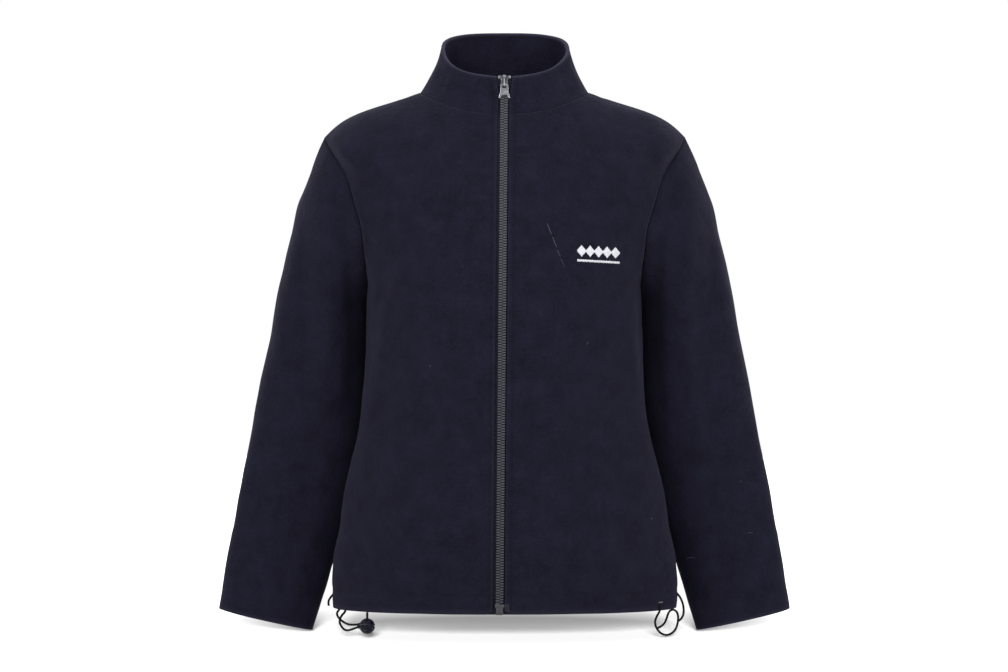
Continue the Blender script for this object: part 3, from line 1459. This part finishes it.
class JACKET_OT_embroidery(bpy.types.Operator):
    """Embroiders the chain of diamonds and its bar on the chest, and the bar over the hem's slit"""

    bl_idname = "jacket.embroidery"
    bl_label = "Embroidery"

    def execute(self, context):
        finish = thread_material("satin_thread", (0.50, 0.51, 0.54, 1.0), 0.42, 0.1)
        tree = outer_face("front_left_fleece")
        shaken = random.Random(5)
        columns = []
        bar = []
        start = MOTIF_FIRST_X - DIAMOND_PITCH / 2
        count = round(DIAMONDS * DIAMOND_PITCH / SATIN_PITCH)
        for index in range(count + 1):
            x = start + SATIN_PITCH * index
            offset = (index * SATIN_PITCH) % DIAMOND_PITCH - DIAMOND_PITCH / 2
            half = DIAMOND_HALF_HEIGHT * (1.0 - abs(offset) / (DIAMOND_PITCH * 0.55)) + 0.0005
            half += shaken.uniform(-MOTIF_UNEVEN, MOTIF_UNEVEN)
            middle = MOTIF_MIDDLE_Z + MOTIF_SLOPE * (x - MOTIF_FIRST_X)
            columns.append((x, middle + half, middle - half))
            bar_half = BAR_HALF + shaken.uniform(-0.0001, 0.0001)
            bar.append((x, middle - BAR_DROP + bar_half, middle - BAR_DROP - bar_half))
        data = thread_mesh("chest_diamonds", satin(columns, tree, SATIN_THREAD, 0.0006), SATIN_THREAD)
        add_object("chest_diamonds", data, finish, replaces=["motif_diamonds"])
        data = thread_mesh("chest_bar", satin(bar, tree, SATIN_THREAD, 0.0005), SATIN_THREAD)
        add_object("chest_bar", data, finish, replaces=["motif_bar"])
        low, high = (Vector(corner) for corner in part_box("cord_eyelet"))
        thread = thread_material("eyelet_thread", (0.10, 0.10, 0.12, 1.0))
        middle_x = (low.x + high.x) / 2
        middle_z = (low.z + high.z) / 2
        slit = [(middle_x - 0.0022, middle_z - 0.0020), (middle_x + 0.0022, middle_z - 0.0020)]
        hits = [cast_back(tree, x, z) for x, z in slit]
        shadow = shadow_material("hem_slit_shadow", 0.0012, 1.0)
        data = thread_mesh("hem_slit", [[place + normal * 0.0001 for place, normal in hits]], 0.0006)
        add_object("hem_slit", data, shadow)
        whips = []
        for index in range(13):
            x = middle_x + 0.0050 * (index / 12 - 0.5)
            whips.append((x, middle_z + 0.0008, middle_z - 0.0008))
        data = thread_mesh("hem_slit_bar", satin(whips, tree, 0.00026, 0.0004), 0.00026)
        add_object("hem_slit_bar", data, thread, replaces=["cord_eyelet"])
        return {"FINISHED"}


class JACKET_OT_marks(bpy.types.Operator):
    """Lays the light scratch on the chest and the lint caught in the nap"""

    bl_idname = "jacket.marks"
    bl_label = "Wear marks"

    def execute(self, context):
        pale = thread_material("lint_fibre", (0.055, 0.055, 0.075, 1.0), 0.9)
        shaken = random.Random(9)
        places = {
            "front_left_fleece": [
                (0.0532, -0.1650, 0.0160, -68.0, 0.00030), (0.0594, -0.1805, 0.0150, -68.0, 0.00030),
                (0.0640, -0.1930, 0.0110, -68.0, 0.00022), (0.0690, -0.2050, 0.0120, -66.0, 0.00016),
                (0.1770, -0.5110, 0.0022, 80.0, 0.00040), (0.0985, -0.3000, 0.0060, 60.0, 0.00014),
            ],
            "front_right_fleece": [
                (-0.0880, -0.3270, 0.0020, 85.0, 0.00036), (-0.050, -0.21, 0.0016, 10.0, 0.0002),
            ],
            "sleeve_left_fleece": [
                (0.2290, -0.5640, 0.0110, 8.0, 0.00022), (0.3010, -0.5330, 0.0080, -10.0, 0.00020),
                (0.2900, -0.4700, 0.0030, 70.0, 0.00020),
            ],
        }
        lines = []
        for name, marks in places.items():
            tree = outer_face(name)
            for x, z, length, heading, radius in marks:
                turn = math.radians(heading)
                line = []
                for step in range(5):
                    along = length * (step / 4 - 0.5)
                    hit = cast_back(tree, x + math.cos(turn) * along, z + math.sin(turn) * along)
                    if hit:
                        line.append(hit[0] + hit[1] * (radius * 0.3 + shaken.uniform(0.0, 0.00005)))
                if len(line) > 2:
                    lines.append((radius, line))
        for index, radius in enumerate(sorted({radius for radius, _ in lines})):
            same = [line for found, line in lines if found == radius]
            data = thread_mesh(f"lint_{index}", same, radius, 1, 0.2)
            add_object(data.name, data, pale)
        return {"FINISHED"}


# Stage

def area_light(name, place, aim, size, power, lit):
    light = bpy.data.lights.new(name, "AREA")
    light.shape = "RECTANGLE"
    light.size, light.size_y = size
    light.energy = power
    holder = linked(name, light)
    holder.location = place
    holder.rotation_euler = (Vector(aim) - Vector(place)).to_track_quat("-Z", "Y").to_euler()
    holder.light_linking.receiver_collection = lit


class JACKET_OT_stage(bpy.types.Operator):
    """Sets up the camera, the white floor and the soft studio light"""

    bl_idname = "jacket.stage"
    bl_label = "Stage"

    def execute(self, context):
        scene = context.scene
        look = scene.studio_look
        scene.view_settings.view_transform = "Standard"
        lens = bpy.data.cameras.new("camera")
        lens.sensor_width = SENSOR
        lens.lens = SENSOR * -CAMERA_PLACE[1] / VIEW_WIDTH
        lens.clip_end = 50.0
        camera = linked("camera", lens)
        camera.location = CAMERA_PLACE
        camera.rotation_euler = (math.radians(90), 0.0, 0.0)
        scene.camera = camera
        world = bpy.data.worlds.new("studio")
        world.use_nodes = True
        surroundings = world.node_tree.nodes["Background"]
        surroundings.inputs["Color"].default_value = (1.0, 1.0, 1.0, 1.0)
        surroundings.inputs["Strength"].default_value = look.ambient
        scene.world = world
        bm = bmesh.new()
        bmesh.ops.create_grid(
            bm, x_segments=8, y_segments=8, size=FLOOR_HALF, matrix=Matrix.Translation((0.0, 0.0, FLOOR_Z)),
        )
        floor = linked("floor", mesh_from(bm, "floor"))
        floor.data.materials.append(floor_material())
        lit = bpy.data.collections.new("lit_by_lamps")
        lit.objects.link(floor)
        lit.collection_objects[0].light_linking.link_state = "EXCLUDE"
        for name, place, size, share in (
            ("key_left", (-1.7, -2.3, 0.9), (1.3, 1.6), 1.0),
            ("key_right", (1.8, -2.1, 0.7), (1.3, 1.6), 0.85),
            ("top", (0.0, 0.4, 2.2), (1.8, 1.2), 0.6),
            ("back_left", (-1.9, 1.6, 0.6), (1.0, 1.6), 0.5),
            ("back_right", (1.9, 1.6, 0.6), (1.0, 1.6), 0.5),
        ):
            area_light(name, place, LAMPS_AIM, size, look.key * share, lit)
        low = bpy.data.lights.new("floor_wash", "SUN")
        low.energy = look.floor_wash
        low.angle = WASH_SPREAD
        washed = bpy.data.collections.new("lit_by_wash")
        washed.objects.link(floor)
        holder = linked("floor_wash", low)
        beam = Vector((0.0, math.cos(WASH_RISE), -math.sin(WASH_RISE)))
        holder.rotation_euler = beam.to_track_quat("-Z", "Y").to_euler()
        holder.light_linking.receiver_collection = washed
        return {"FINISHED"}


class JACKET_PT_panel(bpy.types.Panel):
    """Lists the steps that build the jacket"""

    bl_idname = "JACKET_PT_panel"
    bl_label = "Fleece zip jacket"
    bl_space_type = "VIEW_3D"
    bl_region_type = "UI"
    bl_category = "Jacket"

    def draw(self, context):
        for name in ("studio_look", "cord_look", "fleece_look", "stitch_look", "zip_look"):
            box = self.layout.box()
            look = getattr(context.scene, name)
            for key in look.__annotations__:
                box.prop(look, key)
        for step in STEPS:
            self.layout.operator(step.bl_idname)


LOOKS = {
    "fleece_look": FleeceLook,
    "stitch_look": StitchLook,
    "zip_look": ZipLook,
    "cord_look": CordLook,
    "studio_look": StudioLook,
}
STEPS = (
    JACKET_OT_stage,
    JACKET_OT_cords,
    JACKET_OT_fleece,
    JACKET_OT_stitching,
    JACKET_OT_zip,
    JACKET_OT_lock,
    JACKET_OT_embroidery,
    JACKET_OT_marks,
)


def register():
    for kind in (*LOOKS.values(), *STEPS, JACKET_PT_panel):
        bpy.utils.register_class(kind)
    for name, kind in LOOKS.items():
        setattr(bpy.types.Scene, name, bpy.props.PointerProperty(type=kind))


def unregister():
    for name in LOOKS:
        delattr(bpy.types.Scene, name)
    for kind in (JACKET_PT_panel, *reversed(STEPS), *LOOKS.values()):
        bpy.utils.unregister_class(kind)


def main():
    register()
    for step in STEPS:
        group, action = step.bl_idname.split(".")
        getattr(getattr(bpy.ops, group), action)()


if __name__ == "__main__":
    main()
